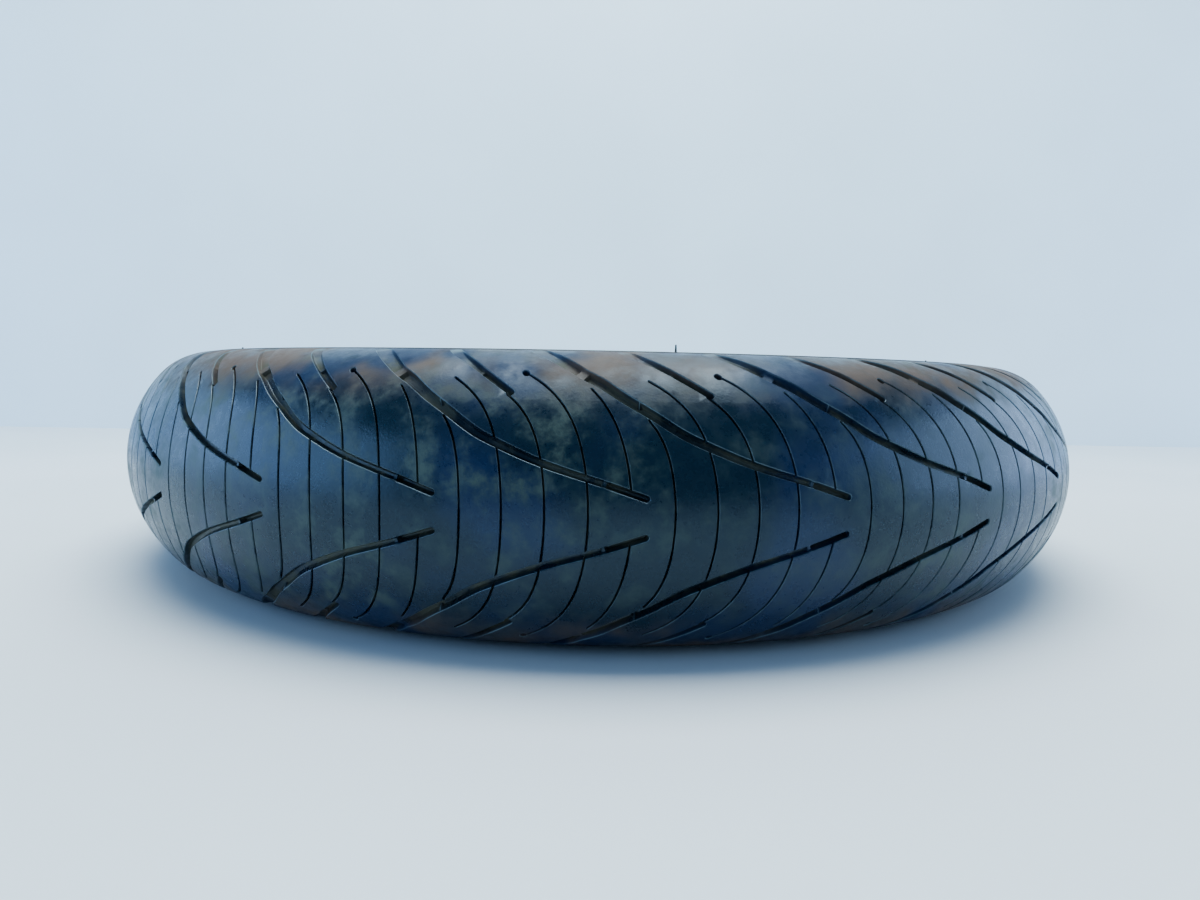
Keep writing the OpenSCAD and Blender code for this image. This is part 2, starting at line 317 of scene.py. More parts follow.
# Distances in from the edge, and the share of the depth that the wall has reached there
GROOVE_WALL = ((0.0, 0.22, 0.46, 0.88, 1.24), (0.0, 0.06, 0.5, 0.92, 1.0))
SIPE_WALL = ((0.0, 0.14, 0.32), (0.0, 0.08, 0.8, 1.0))


@dataclass(frozen=True)
class Pattern:
    """One pitch of the tread pattern. Every cut is mirrored to the other side of the centre line."""

    pitch: float
    sipe_bends: tuple[tuple[float, float, float, float], ...] = (
        (0.0, 1.6, 10.0, 49.3),
        (-15.7, 2.1, -56.5, 56.5),
        (-31.4, 3.6, -46.3, 46.3),
        (-47.1, 2.65, -53.4, 53.4),
        (-62.8, 5.6, -36.4, 36.4),
    )
    sipe_bow: float = 0.0045

    def long_groove(self) -> Cut:
        """The long groove, from beside the centre line to the tread's edge."""
        points = (
            (5.1, 7.1), (-9.6, 12.0), (-34.0, 19.6), (-53.0, 27.5), (-61.0, 31.7), (-70.7, 38.3),
            (-81.0, 45.0), (-90.3, 52.0), (-98.8, 57.7), (-111.4, 69.0), (-119.0, 76.5),
        )
        widths = ((0, 3.1), (30, 3.3), (70, 4.2), (100, 5.0), (116, 6.0), (132, 7.6), (160, 8.2))
        depths = (
            (0, 3.6), (14.7, 3.7), (15.3, 1.2), (16.5, 1.2), (17.1, 2.5), (30, 2.8),
            (60, 3.3), (113, 3.1), (114, 1.6), (118, 1.6), (119, 2.8), (134, 1.9), (146, 0.2),
        )
        return Cut(points, widths, depths, *GROOVE_WALL)

    def short_groove(self) -> Cut:
        """The short groove between two long ones, at the shoulder."""
        points = ((-47.2, 47.0), (-58.5, 55.5), (-71.5, 66.5), (-77.0, 72.0), (-80.5, 76.5))
        widths = ((0, 3.3), (18, 3.9), (34, 5.4), (46, 6.4))
        depths = ((0, 3.0), (17.0, 3.1), (17.6, 2.2), (19.2, 2.2), (19.8, 2.8), (34, 1.6), (43, 0.2))
        return Cut(points, widths, depths, *GROOVE_WALL)

    def sipe(self, start_run: float, bend: float, low: float, high: float, bow: float) -> Cut:
        """A narrow sipe across the tread.

        Args:
            start_run: where it crosses the centre line.
            bend: how fast it leans back towards the shoulder.
            low: arc of its lower end.
            high: arc of its upper end.
            bow: curve near the centre line.

        Returns:
            The sipe, which fades out at both ends if it crosses the centre line.
        """
        arcs = np.linspace(low, high, max(5, round((high - low) / 4.5)))
        runs = start_run - (bow * arcs**2 + bend * 1e-8 * np.abs(arcs) ** 5)
        points = tuple(zip(runs.tolist(), arcs.tolist()))
        total = lengths_along(smooth_curve(np.array(points)))[-1]
        if low > 0:
            widths = ((0, 1.2), (total, 1.2))
            depths = ((0, 2.3), (total, 2.3))
        else:
            widths = ((0, 1.35), (0.3 * total, 1.15), (0.7 * total, 1.15), (total, 1.35))
            depths = ((0, 1.6), (5, 2.4), (total - 5, 2.4), (total, 1.6))
        return Cut(points, widths, depths, *SIPE_WALL, step=3.2, cap_steps=3)

    def well(self) -> Cut:
        """The round hole at the end of the second sipe."""
        points = ((-42.2, 56.2), (-42.8, 56.8))
        return Cut(points, ((0, 3.1), (1, 3.1)), ((0, 3.2), (1, 3.2)), *GROOVE_WALL, step=0.6)

    def cuts(self) -> list[Cut]:
        """All cuts of one pitch, on both sides."""
        one_side = [self.long_groove(), self.short_groove(), self.well()]
        found = one_side + [mirrored(c) for c in one_side]
        for start_run, bend, low, high in self.sipe_bends:
            line = self.sipe(start_run, bend, low, high, self.sipe_bow)
            found += [line, mirrored(line)] if low > 0 else [line]
        return found


def mirrored(cut: Cut) -> Cut:
    """The same cut on the other side of the centre line."""
    flipped = tuple((run, -arc) for run, arc in cut.points)
    return Cut(flipped, cut.widths, cut.depths, cut.insets, cut.shares, cut.step, cut.cap_steps)


@dataclass
class Cell:
    """One pitch of the tread as flat triangles, with the cuts' depth at each corner."""

    section: Section
    pattern: Pattern
    split: float = 44.0
    grid_steps: tuple[int, int, int] = (24, 28, 12)
    keep_off: float = 0.8
    copies: tuple[int, ...] = (-1, 0, 1, 2)
    flat: np.ndarray = field(init=False)
    depth: np.ndarray = field(init=False)
    triangles: list[tuple[int, ...]] = field(init=False)

    def __post_init__(self) -> None:
        """Lays the lines and the grid, triangulates them and works out the depths."""
        pitch, edge = self.pattern.pitch, self.section.tread_arc
        cuts = self.pattern.cuts()
        shifts = [np.array([k * pitch, 0.0]) for k in self.copies]
        lines = [line + shift for cut in cuts for line in cut.lines() for shift in shifts]
        points: list[tuple[float, float]] = []
        edges: list[tuple[int, int]] = []
        for line in lines:
            add_clipped(points, edges, line, pitch)
        rim = [(0, -edge), (0, edge), (pitch, edge), (pitch, -edge), (0, -edge)]
        seams = [[(0, s), (pitch, s)] for s in (-self.split, self.split)]
        for line in [rim, *seams]:
            for a, b in zip(line, line[1:]):
                edges.append((len(points), len(points) + 1))
                points += [a, b]
        points += self.grid(np.array(points), pitch, edge)
        corners, _, faces, *_ = delaunay_2d_cdt([Vector(p) for p in points], edges, [], 0, 1e-5)
        self.flat = np.array([tuple(c) for c in corners])
        self.triangles = [tuple(f) for f in faces if np.ptp(self.flat[list(f), 0]) > FLAT]
        self.depth = np.zeros(len(self.flat))
        for cut in cuts:
            for shift in shifts:
                self.depth = np.maximum(self.depth, cut.depth_at(self.flat - shift))

    def grid(self, taken: np.ndarray, pitch: float, edge: float) -> list[tuple[float, float]]:
        """Even points between the lines, none close to one.

        Args:
            taken: the lines' points.
            pitch: the cell's length.
            edge: arc of the tread's edge.

        Returns:
            Points as run and arc.
        """
        runs, inner, outer = self.grid_steps
        side = np.linspace(self.split, edge, outer + 1)
        arcs = np.concatenate([-side[:0:-1], np.linspace(-self.split, self.split, inner + 1), side[1:]])
        repeats = np.vstack([taken + (k * pitch, 0) for k in (-1, 0, 1)])
        kept = []
        for run in np.linspace(0, pitch, runs + 1):
            for arc in arcs:
                if np.hypot(*(repeats - (run, arc)).T).min() > self.keep_off:
                    kept.append((float(run), float(arc)))
        return kept

    def sheet(self, low: float, high: float) -> bmesh.types.BMesh:
        """The part of the cell between two arcs, bent onto the tyre and repeated all round.

        Args:
            low: the lower arc.
            high: the upper arc.

        Returns:
            An open sheet whose corners carry their arc and depth for the tread's finish.
        """
        middle = np.array([self.flat[list(t), 1].mean() for t in self.triangles])
        chosen = [t for t, m in zip(self.triangles, middle) if low < m < high]
        radius, height = self.section.outside(self.flat[:, 1], self.depth)
        turn = self.flat[:, 0] / self.section.outer_r
        place = np.column_stack([radius * np.sin(turn), -radius * np.cos(turn), height]) * MM
        bm = bmesh.new()
        arc_mm = bm.verts.layers.float.new("arc_mm")
        groove_mm = bm.verts.layers.float.new("groove_mm")
        made: dict[int, bmesh.types.BMVert] = {}
        for i in sorted({i for t in chosen for i in t}):
            made[i] = bm.verts.new(place[i])
            made[i][arc_mm], made[i][groove_mm] = abs(self.flat[i, 1]), self.depth[i]
        for t in chosen:
            bm.faces.new([made[i] for i in t])
        pitches = round(2 * math.pi * self.section.outer_r / self.pattern.pitch)
        bmesh.ops.spin(
            bm, geom=bm.verts[:] + bm.edges[:] + bm.faces[:], cent=(0, 0, 0), axis=(0, 0, 1),
            angle=2 * math.pi * (pitches - 1) / pitches, steps=pitches - 1, use_duplicate=True,
        )
        bmesh.ops.remove_doubles(bm, verts=bm.verts[:], dist=WELD)
        return bm


def add_clipped(
    points: list[tuple[float, float]], edges: list[tuple[int, int]], line: np.ndarray, pitch: float
) -> None:
    """Adds the parts of a line that lie in the cell.

    Args:
        points: the cell's points, which grow.
        edges: the cell's edges as pairs of places in points, which grow.
        line: points as run and arc.
        pitch: the cell's length.
    """
    for a, b in zip(line, line[1:]):
        low, high = 0.0, 1.0
        step = b[0] - a[0]
        if abs(step) < 1e-9:
            if not 0 <= a[0] <= pitch:
                continue
        else:
            ends = sorted(((0 - a[0]) / step, (pitch - a[0]) / step))
            low, high = max(0.0, ends[0]), min(1.0, ends[1])
        if high - low < 1e-6:
            continue
        edges.append((len(points), len(points) + 1))
        points += [tuple(a + (b - a) * low), tuple(a + (b - a) * high)]


# ---------------------------------------------------------------- meshes


def open_ends(bm: bmesh.types.BMesh, arc: float) -> list[bmesh.types.BMEdge]:
    """Finds one open rim of a tread sheet.

    Args:
        bm: the sheet.
        arc: the rim's arc, positive on the upper side.

    Returns:
        The rim's edges.
    """
    sign = 1 if arc > 0 else -1
    layer = bm.verts.layers.float["arc_mm"]
    return [
        e for e in bm.edges
        if e.is_boundary and abs(e.verts[0][layer] - abs(arc)) < NEAR and e.verts[0].co.z * sign > 0
    ]


def draw_out(
    bm: bmesh.types.BMesh, edges: list[bmesh.types.BMEdge], places: list[tuple[float, float]]
) -> list[bmesh.types.BMEdge]:
    """Extrudes a ring of edges, each corner keeping its angle round the axle.

    Args:
        bm: the mesh that holds the ring.
        edges: the ring.
        places: the radius and height of each new ring.

    Returns:
        The last ring's edges.
    """
    for radius, height in places:
        made = bmesh.ops.extrude_edge_only(bm, edges=edges)["geom"]
        for v in (v for v in made if isinstance(v, bmesh.types.BMVert)):
            turn = math.atan2(v.co.y, v.co.x)
            v.co = Vector((radius * math.cos(turn), radius * math.sin(turn), height)) * MM
        edges = [e for e in made if isinstance(e, bmesh.types.BMEdge)]
    return edges


def spun(profile: list[tuple[float, float]], steps: int, sign: int = 1) -> bmesh.types.BMesh:
    """Turns a closed outline round the axle.

    Args:
        profile: radii and heights.
        steps: sides of the round.
        sign: -1 for the lower side, whose heights turn over.

    Returns:
        The closed mesh, with its faces outwards.
    """
    bm = bmesh.new()
    ring = [bm.verts.new((0, -r * MM, sign * z * MM)) for r, z in profile]
    edges = [bm.edges.new(pair) for pair in zip(ring, ring[1:] + ring[:1])]
    bmesh.ops.spin(
        bm, geom=ring + edges, cent=(0, 0, 0), axis=(0, 0, 1), angle=2 * math.pi, steps=steps,
        use_merge=True,
    )
    bmesh.ops.remove_doubles(bm, verts=bm.verts[:], dist=WELD)
    bmesh.ops.recalc_face_normals(bm, faces=bm.faces[:])
    return bm


def finished(
    bm: bmesh.types.BMesh, name: str, material: bpy.types.Material, nodes: list[str],
    crease: float = 30.0,
) -> bpy.types.Object:
    """Turns a mesh into a piece that stands for CAD nodes and rides on the body.

    Args:
        bm: the closed mesh, which is freed.
        name: the piece's name.
        material: its finish.
        nodes: the CAD nodes that it replaces.
        crease: edges that turn by more degrees stay sharp.

    Returns:
        The new object.
    """
    for face in bm.faces:
        face.smooth = True
    for edge in bm.edges:
        edge.smooth = edge.calc_face_angle(math.pi) < math.radians(crease)
    mesh = bpy.data.meshes.new(name)
    bm.to_mesh(mesh)
    bm.free()
    mesh.materials.append(material)
    piece = bpy.data.objects.new(name, mesh)
    bpy.context.scene.collection.objects.link(piece)
    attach(piece, "root")
    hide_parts(*nodes)
    log.info("%s: %d corners, %d faces", name, len(mesh.vertices), len(mesh.polygons))
    return piece


@dataclass
class Tread:
    """The worn tread: a harder centre and a softer shoulder on each side."""

    section: Section
    cell: Cell
    seam_slope: int = 30
    foot_slopes: tuple[int, int] = (75, 70)
    foot_end: int = 65
    foot_step: int = 5
    cover_slopes: tuple[int, int, int] = (45, 60, 65)
    cover_depths: tuple[float, float, float] = (3.3, 0.8, 0.4)
    crease: float = 24.0

    def centre(self, material: bpy.types.Material) -> bpy.types.Object:
        """The centre compound, closed underneath along the tread base."""
        split = self.cell.split
        bm = self.cell.sheet(-split, split)
        slopes = range(self.seam_slope, -self.seam_slope - 1, -self.foot_step)
        foot = [self.section.carcass(abs(s), self.section.cover_t) for s in slopes]
        foot = [(r, z if s >= 0 else -z) for (r, z), s in zip(foot, slopes)]
        draw_out(bm, open_ends(bm, split), foot)
        draw_out(bm, open_ends(bm, -split), foot[-1:])
        return self.close(bm, "tread_centre", material, "tread_centre", ["tread_centre"])

    def shoulder(self, side: Side, material: bpy.types.Material) -> bpy.types.Object:
        """One shoulder, from the seam with the centre to the sidewall, closed along the carcass."""
        split, edge, sign = self.cell.split, self.section.tread_arc, side.value
        bm = self.cell.sheet(*sorted((sign * split, sign * edge)))
        foot = [self.section.carcass(slope, 0.0) for slope in self.foot_slopes]
        for slope in range(self.foot_end, self.seam_slope, -self.foot_step):
            cover = np.interp(slope, self.cover_slopes, self.cover_depths)
            foot.append(self.section.carcass(slope, float(cover)))
        foot = [(r, sign * z) for r, z in foot]
        seam_r, seam_z = self.section.carcass(self.seam_slope, self.section.cover_t)
        outer = draw_out(bm, open_ends(bm, sign * edge), foot)
        inner = draw_out(bm, open_ends(bm, sign * split), [(seam_r, sign * seam_z)])
        bmesh.ops.bridge_loops(bm, edges=outer + inner)
        name = f"tread_shoulder_{side.tag}"
        return self.close(bm, name, material, "tread_shoulder", [name])

    def close(
        self, bm: bmesh.types.BMesh, name: str, material: bpy.types.Material, slot: str,
        nodes: list[str],
    ) -> bpy.types.Object:
        """Welds a tread piece, turns its faces outwards and finishes it."""
        bmesh.ops.remove_doubles(bm, verts=bm.verts[:], dist=WELD)
        bmesh.ops.dissolve_degenerate(bm, edges=bm.edges[:], dist=0.2 * WELD)
        bmesh.ops.recalc_face_normals(bm, faces=bm.faces[:])
        return finished(bm, name, material, nodes, self.crease)


@dataclass(frozen=True)
class Bead:
    """The bead's outline: the rim's seat and flange outside, the wires and their covers inside.

    Slopes are in degrees, other sizes in millimetres.
    """

    section: Section
    rim_r: float = 218.3
    flange_z: float = 44.5
    flange_h: float = 14.0
    heel_r: float = 2.0
    seat_w: float = 7.0
    toe_drop: float = 0.8
    bead_w: float = 14.0
    centre: tuple[float, float] = (224.6, 38.4)
    core_r: float = 2.6
    cover_t: float = 1.7
    slant: float = 46.8
    turn_up: float = 16.0
    turn_l: float = 8.0
    toe_l: float = 6.0

    def round_wires(self, reach: float, slope_deg: float) -> tuple[float, float]:
        """A point at a distance from the wires' centre."""
        slope = math.radians(slope_deg)
        return self.centre[0] + reach * math.cos(slope), self.centre[1] + reach * math.sin(slope)

    def toe_top(self, depth: float) -> tuple[float, float]:
        """Where the layers inside the bead end, at a depth inside the outer ply."""
        r, z = self.round_wires(self.core_r + depth, self.slant - 90)
        slope = math.radians(self.slant)
        return r + self.toe_l * math.cos(slope), z + self.toe_l * math.sin(slope)

    def ply_bend(self) -> tuple[float, float]:
        """Where the carcass straightens above the bead."""
        return self.section.side_point(90 + self.slant, self.section.sidewall_t)

    def cushion_top(self) -> tuple[float, float]:
        """Where the rim cushion meets the sidewall on the outside."""
        lean = math.radians(self.slant - self.section.side_slant)
        slope = math.radians(90 + self.slant)
        reach = self.section.side_r / math.cos(lean)
        centre_z = self.section.half_w - self.section.side_r
        return self.section.wide_r + reach * math.cos(slope), centre_z + reach * math.sin(slope)

    def side_line(self, radius: float) -> float:
        """Height of the straight part of the sidewall."""
        r, z = self.section.side_point(90 + self.section.side_slant)
        return z - (r - radius) * math.tan(math.radians(self.section.side_slant))


@dataclass
class Wall:
    """One side of the tyre: the sidewall with its ribs and serrations, and the rim cushion."""

    section: Section
    bead: Bead
    side: Side
    steps: int = 720
    cushion_steps: int = 240
    rib_w: float = 4.0
    tooth_h: float = 0.3
    blank_panels: tuple[tuple[float, float], ...] = ((20.0, 92.0), (200.0, 272.0))
    hair_angles: tuple[float, ...] = (
        4.8, 37.0, 71.0, 104.0, 139.0, 171.0, 206.0, 238.0, 273.0, 309.0, 341.0,
    )
    hair_r: float = 0.55
    hair_root: float = 0.6
    hair_stub: float = 0.2
    first_hair: float = 4.2
    # Slope of the bulge and how far the skin stands out there: ribs round a serrated band
    side_rises: tuple[tuple[float, float], ...] = (
        (101, 0), (102.2, 0), (102.5, 0.3), (103.3, 0.3), (103.6, 0), (104.6, 0), (105, 0.01),
        (117, 0.01), (117.4, 0), (118.6, 0), (118.9, 0.35), (120.3, 0.35), (120.6, 0), (123, 0),
        (125, 0),
    )
    band_ends: tuple[float, float] = (117.2, 104.8)
    # Share of the way down the cushion and how far the skin stands out there: two rim lines
    cushion_rises: tuple[tuple[float, float], ...] = (
        (0.15, 0), (0.2, 0.35), (0.35, 0.35), (0.4, 0), (0.62, 0), (0.67, 0.5), (0.82, 0.5), (0.88, 0),
    )

    def sidewall(self, material: bpy.types.Material) -> bpy.types.Object:
        """The sidewall, from the tread's edge to the rim cushion."""
        sec, inner = self.section, self.section.sidewall_t
        notch = ((0, 0), (0.5, 0.35), (1.1, 0.35), (1.5, 0))
        edge = [sec.outside(np.array(sec.tread_arc + past), deep) for past, deep in notch]
        outline = [(float(r), float(z)) for r, z in edge]
        top, step = sec.half_w + sec.rib_h, 0.25
        outline += [
            (sec.wide_r + 0.2, sec.half_w), (sec.wide_r, top - step), (sec.wide_r - step, top),
            (sec.wide_r - self.rib_w + step, top), (sec.wide_r - self.rib_w, top - step),
        ]
        for slope, rise in self.side_rises:
            outline.append(sec.side_point(slope, -rise))
        bulge_end = self.side_rises[-1][0]
        for share in (0.35, 0.4, 0.55, 0.6):
            r = sec.side_point(bulge_end)[0] * (1 - share) + self.bead.cushion_top()[0] * share
            outline.append((r, self.bead.side_line(r) + (0.3 if 0.38 < share < 0.58 else 0)))
        outline.append(self.bead.cushion_top())
        outline += [sec.side_point(s, inner) for s in (136.8, 130, 120, 110, 100)]
        outline += [sec.carcass(s, 0.0) for s in (90, 85, 80, 75)]
        bm = spun(outline, self.steps, self.side.value)
        self.cut_teeth(bm)
        self.raise_hairs(bm)
        name = f"sidewall_{self.side.tag}"
        return finished(bm, name, material, [name])

    def cut_teeth(self, bm: bmesh.types.BMesh) -> None:
        """Raises every other column of the serrated band, outside the blank panels."""
        low, high = (self.section.side_point(slope)[0] * MM for slope in self.band_ends)
        face_z = 0.9 * self.section.half_w * MM
        for v in bm.verts:
            radius = math.hypot(v.co.x, v.co.y)
            angle = math.degrees(math.atan2(v.co.x, -v.co.y)) % 360
            column = round(angle / 360 * self.steps)
            blank = any(a < angle < b for a, b in self.blank_panels)
            if low < radius < high and abs(v.co.z) > face_z and column % 2 and not blank:
                v.co.z += self.side.value * self.tooth_h * MM

    def raise_hairs(self, bm: bmesh.types.BMesh) -> None:
        """Stands the moulding vents' rubber hairs on the wall, pressed short on the side it lies on."""
        r, z = self.section.side_point(103)
        for i, angle in enumerate(self.hair_angles):
            if self.side is Side.LOWER:
                standing = self.hair_stub
            elif i == 0:
                standing = self.first_hair
            else:
                standing = 0.9 + 0.37 * (i * 7 % 5)
            height = standing + self.hair_root
            turn = Matrix.Rotation(math.radians(angle), 4, "Z")
            place = Vector((0, -r, self.side.value * (z + height / 2 - self.hair_root))) * MM
            bmesh.ops.create_cone(
                bm, cap_ends=True, segments=8, radius1=self.hair_r * MM, radius2=0.6 * self.hair_r * MM,
                depth=height * MM, matrix=turn @ Matrix.Translation(place),
            )

    def cushion(self, material: bpy.types.Material) -> bpy.types.Object:
        """The rim cushion: flange groove, heel, seat and toe."""
        bead = self.bead
        inside = bead.section.ply_t + bead.section.liner_t
        top_r = bead.rim_r + bead.flange_h + 0.7
        run = bead.cushion_top()[0] - top_r
        outline = [bead.ply_bend(), bead.cushion_top()]
        for share, rise in self.cushion_rises:
            r = bead.cushion_top()[0] - share * run
            outline.append((r, bead.side_line(r) + rise))
        outline += [(top_r, bead.side_line(top_r)), (top_r - 0.4, bead.side_line(top_r) - 1.2)]
        outline.append((bead.rim_r + bead.flange_h - 3.3, bead.flange_z))
        for slope in (90, 110, 130, 150, 180):
            turn = math.radians(slope)
            outline.append((
                bead.rim_r + bead.heel_r * (1 + math.cos(turn)),
                bead.flange_z - bead.heel_r * (1 - math.sin(turn)),
            ))
        seat_z = bead.flange_z - bead.heel_r - bead.seat_w
        for k in range(1, 5):
            z = bead.flange_z - bead.heel_r - bead.seat_w * k / 5
            outline += [(bead.rim_r, z + 0.2), (bead.rim_r + 0.15, z), (bead.rim_r, z - 0.2)]
        outline += [
            (bead.rim_r, seat_z), (bead.rim_r - bead.toe_drop, bead.flange_z - bead.bead_w),
            (bead.rim_r - bead.toe_drop + 0.6, bead.flange_z - bead.bead_w - 0.4),
            bead.round_wires(bead.core_r + inside, bead.slant - 90), bead.toe_top(inside),
            bead.toe_top(bead.cover_t),
        ]
        outline += [bead.round_wires(bead.core_r + bead.cover_t, s) for s in range(316, 106, -15)]
        turn = math.radians(bead.turn_up)
        foot = bead.round_wires(bead.core_r, 90 + bead.turn_up)
        outline.append((foot[0] + bead.turn_l * math.cos(turn), foot[1] + bead.turn_l * math.sin(turn)))
        bm = spun(outline, self.cushion_steps, self.side.value)
        name = f"rim_cushion_{self.side.tag}"
        return finished(bm, name, material, [name])


@dataclass
class Liner:
    """The airtight layer inside, with the ridges that the curing bladder leaves."""

    section: Section
    bead: Bead
    steps: int = 180
    ridge_h: float = 0.18

    def line(self, depth: float, ridge: float, step: float) -> list[tuple[float, float]]:
        """One face of the layer's upper half, from the toe to the mid plane.

        Args:
            depth: distance inside the carcass.
            ridge: height of every other point, towards the carcass.
            step: degrees between points.

        Returns:
            Radii and heights.
        """
        toe = self.bead.toe_top(depth)
        bulge = np.arange(90 + self.bead.slant, 90, -2 * step)
        bend = np.arange(90, 0, -step)
        places = [toe]
        wall = self.section.sidewall_t + depth
        for k, slope in enumerate(bulge):
            places.append(self.section.side_point(float(slope), wall - ridge * (k % 2)))
        for k, slope in enumerate(bend):
            places.append(self.section.carcass(float(slope), ridge * (k % 2) - depth))
        return places

    def build(self, material: bpy.types.Material) -> bpy.types.Object:
        """The whole liner."""
        outer = self.line(self.section.ply_t, 0.0, 5.0)
        inner = self.line(self.section.ply_t + self.section.liner_t, self.ridge_h, 2.0)
        outer.append(self.section.carcass(0, -self.section.ply_t))
        inner.append(self.section.carcass(0, -self.section.ply_t - self.section.liner_t))
        lower_outer = [(r, -z) for r, z in outer[-2::-1]]
        lower_inner = [(r, -z) for r, z in inner[-2::-1]]
        outline = outer + lower_outer + (inner + lower_inner)[::-1]
        bm = spun(outline, self.steps)
        return finished(bm, "inner_liner", material, ["inner_liner"])


# ---------------------------------------------------------------- finishes


def srgb(colour: str) -> tuple[float, float, float, float]:
    """Turns an sRGB hex colour into linear values with full opacity."""
    values = [int(colour[i:i + 2], 16) / 255 for i in (1, 3, 5)]
    linear = [v / 12.92 if v <= 0.04045 else ((v + 0.055) / 1.055) ** 2.4 for v in values]
    return linear[0], linear[1], linear[2], 1.0


def add(
    tree: bpy.types.NodeTree, kind: str, values: dict | tuple = (), out: int | str = 0,
    **settings: object,
) -> bpy.types.NodeSocket:
    """Adds a node.

    Args:
        tree: the material's node tree.
        kind: the node's type name after ShaderNode.
        values: for each input, in order or by name or index, a number, a colour or another
            node's socket.
        out: which of its outputs is wanted, by name or index.
        settings: the node's own properties.

    Returns:
        The output.
    """
    node = tree.nodes.new("ShaderNode" + kind)
    for key, value in settings.items():
        setattr(node, key, value)
    for key, value in values.items() if isinstance(values, dict) else enumerate(values):
        if isinstance(value, bpy.types.NodeSocket):
            tree.links.new(value, node.inputs[key])
        else:
            node.inputs[key].default_value = value
    return node.outputs[out]


def blank_material(
    name: str, **fixed: object
) -> tuple[bpy.types.Material, bpy.types.NodeTree, bpy.types.Node]:
    """A new material.

    Args:
        name: the finish's name.
        fixed: values of the shader's own sockets, with _ for a space in their names.

    Returns:
        The material, its node tree and its shader.
    """
    material = bpy.data.materials.new(name)
    material.use_nodes = True
    tree = material.node_tree
    shader = tree.nodes["Principled BSDF"]
    for key, value in fixed.items():
        shader.inputs[key.replace("_", " ")].default_value = value
    return material, tree, shader


def clouds(
    tree: bpy.types.NodeTree, where: object, size_mm: float, detail: float = 3.0,
    rough: float = 0.55, shift: float = 0.0,
) -> bpy.types.NodeSocket:
    """Cloudy noise.

    Args:
        tree: the material's node tree.
        where: places in metres.
        size_mm: width of a patch.
        detail: how many finer layers it has.
        rough: how strong those are.
        shift: metres by which it is moved, so that two noises differ.

    Returns:
        A value that stays near 0.5.
    """
    moved = add(tree, "Mapping", {"Vector": where, "Location": (shift, -shift, 0.5 * shift)})
    values = {"Vector": moved, "Scale": 1 / (size_mm * MM), "Detail": detail, "Roughness": rough}
    return add(tree, "TexNoise", values, "Fac")


# Settings of the nodes that the finishes share: a smooth step, arithmetic and a mix of colours
STEP = {"interpolation_type": "SMOOTHSTEP"}
TIMES = {"operation": "MULTIPLY"}
PLUS = {"operation": "ADD"}
MINUS = {"operation": "SUBTRACT"}
TIMES_PLUS = {"operation": "MULTIPLY_ADD"}
COLOURS = {"data_type": "RGBA"}
SHARE, FIRST, SECOND, MIXED = 0, 6, 7, 2


